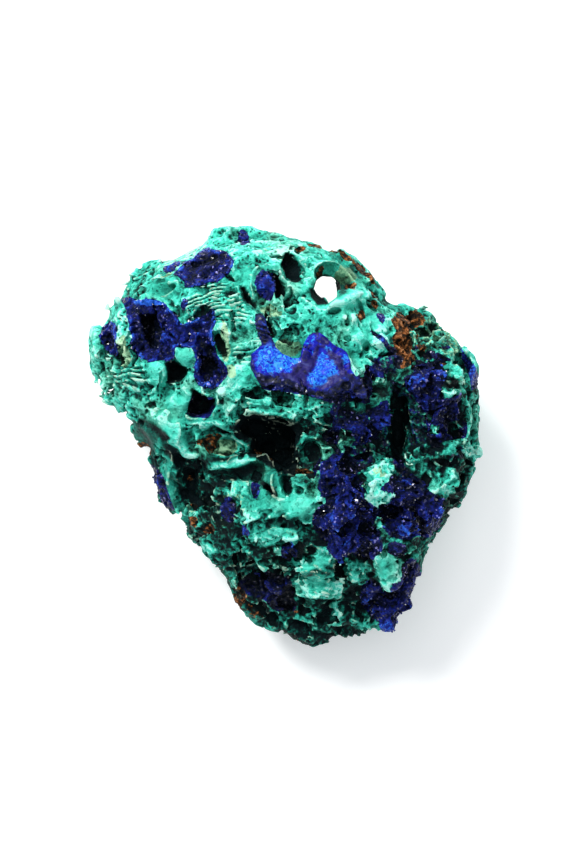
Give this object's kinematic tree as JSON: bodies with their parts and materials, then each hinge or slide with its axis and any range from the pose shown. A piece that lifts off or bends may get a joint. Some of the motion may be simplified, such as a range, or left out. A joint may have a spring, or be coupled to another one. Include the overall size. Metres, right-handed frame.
{
  "type": "azurite malachite geode",
  "caption": "Loose natural stone of porous green malachite with a hole through it, blue azurite crusts in its hollows and azurite crystals over one side, lying on its flat break face.",
  "frame": {"origin": "middle of the bounding box, on the flat break face that the stone lies on", "axes": "+Z out of the showy face, +Y away from the narrow foot along the longest side, +X to the right"},
  "size_m": [0.0172, 0.0186, 0.0117],
  "materials": {
    "malachite": "porous turquoise green malachite, satin in the hollows, dull and pale on the broken ridges",
    "azurite": "deep blue druse of tiny glossy flat-faced crystals"
  },
  "bodies": {
    "root": {"malachite_body": "malachite", "azurite_crust_top": "azurite", "azurite_crust_twin": "azurite", "azurite_crust_eye": "azurite", "azurite_crust_edge": "azurite", "azurite_mass": "azurite", "azurite_druse_shoulder": "azurite", "azurite_druse_brow": "azurite", "azurite_druse_middle": "azurite", "azurite_druse_flank": "azurite", "azurite_druse_foot": "azurite"}
  },
  "joints": []
}
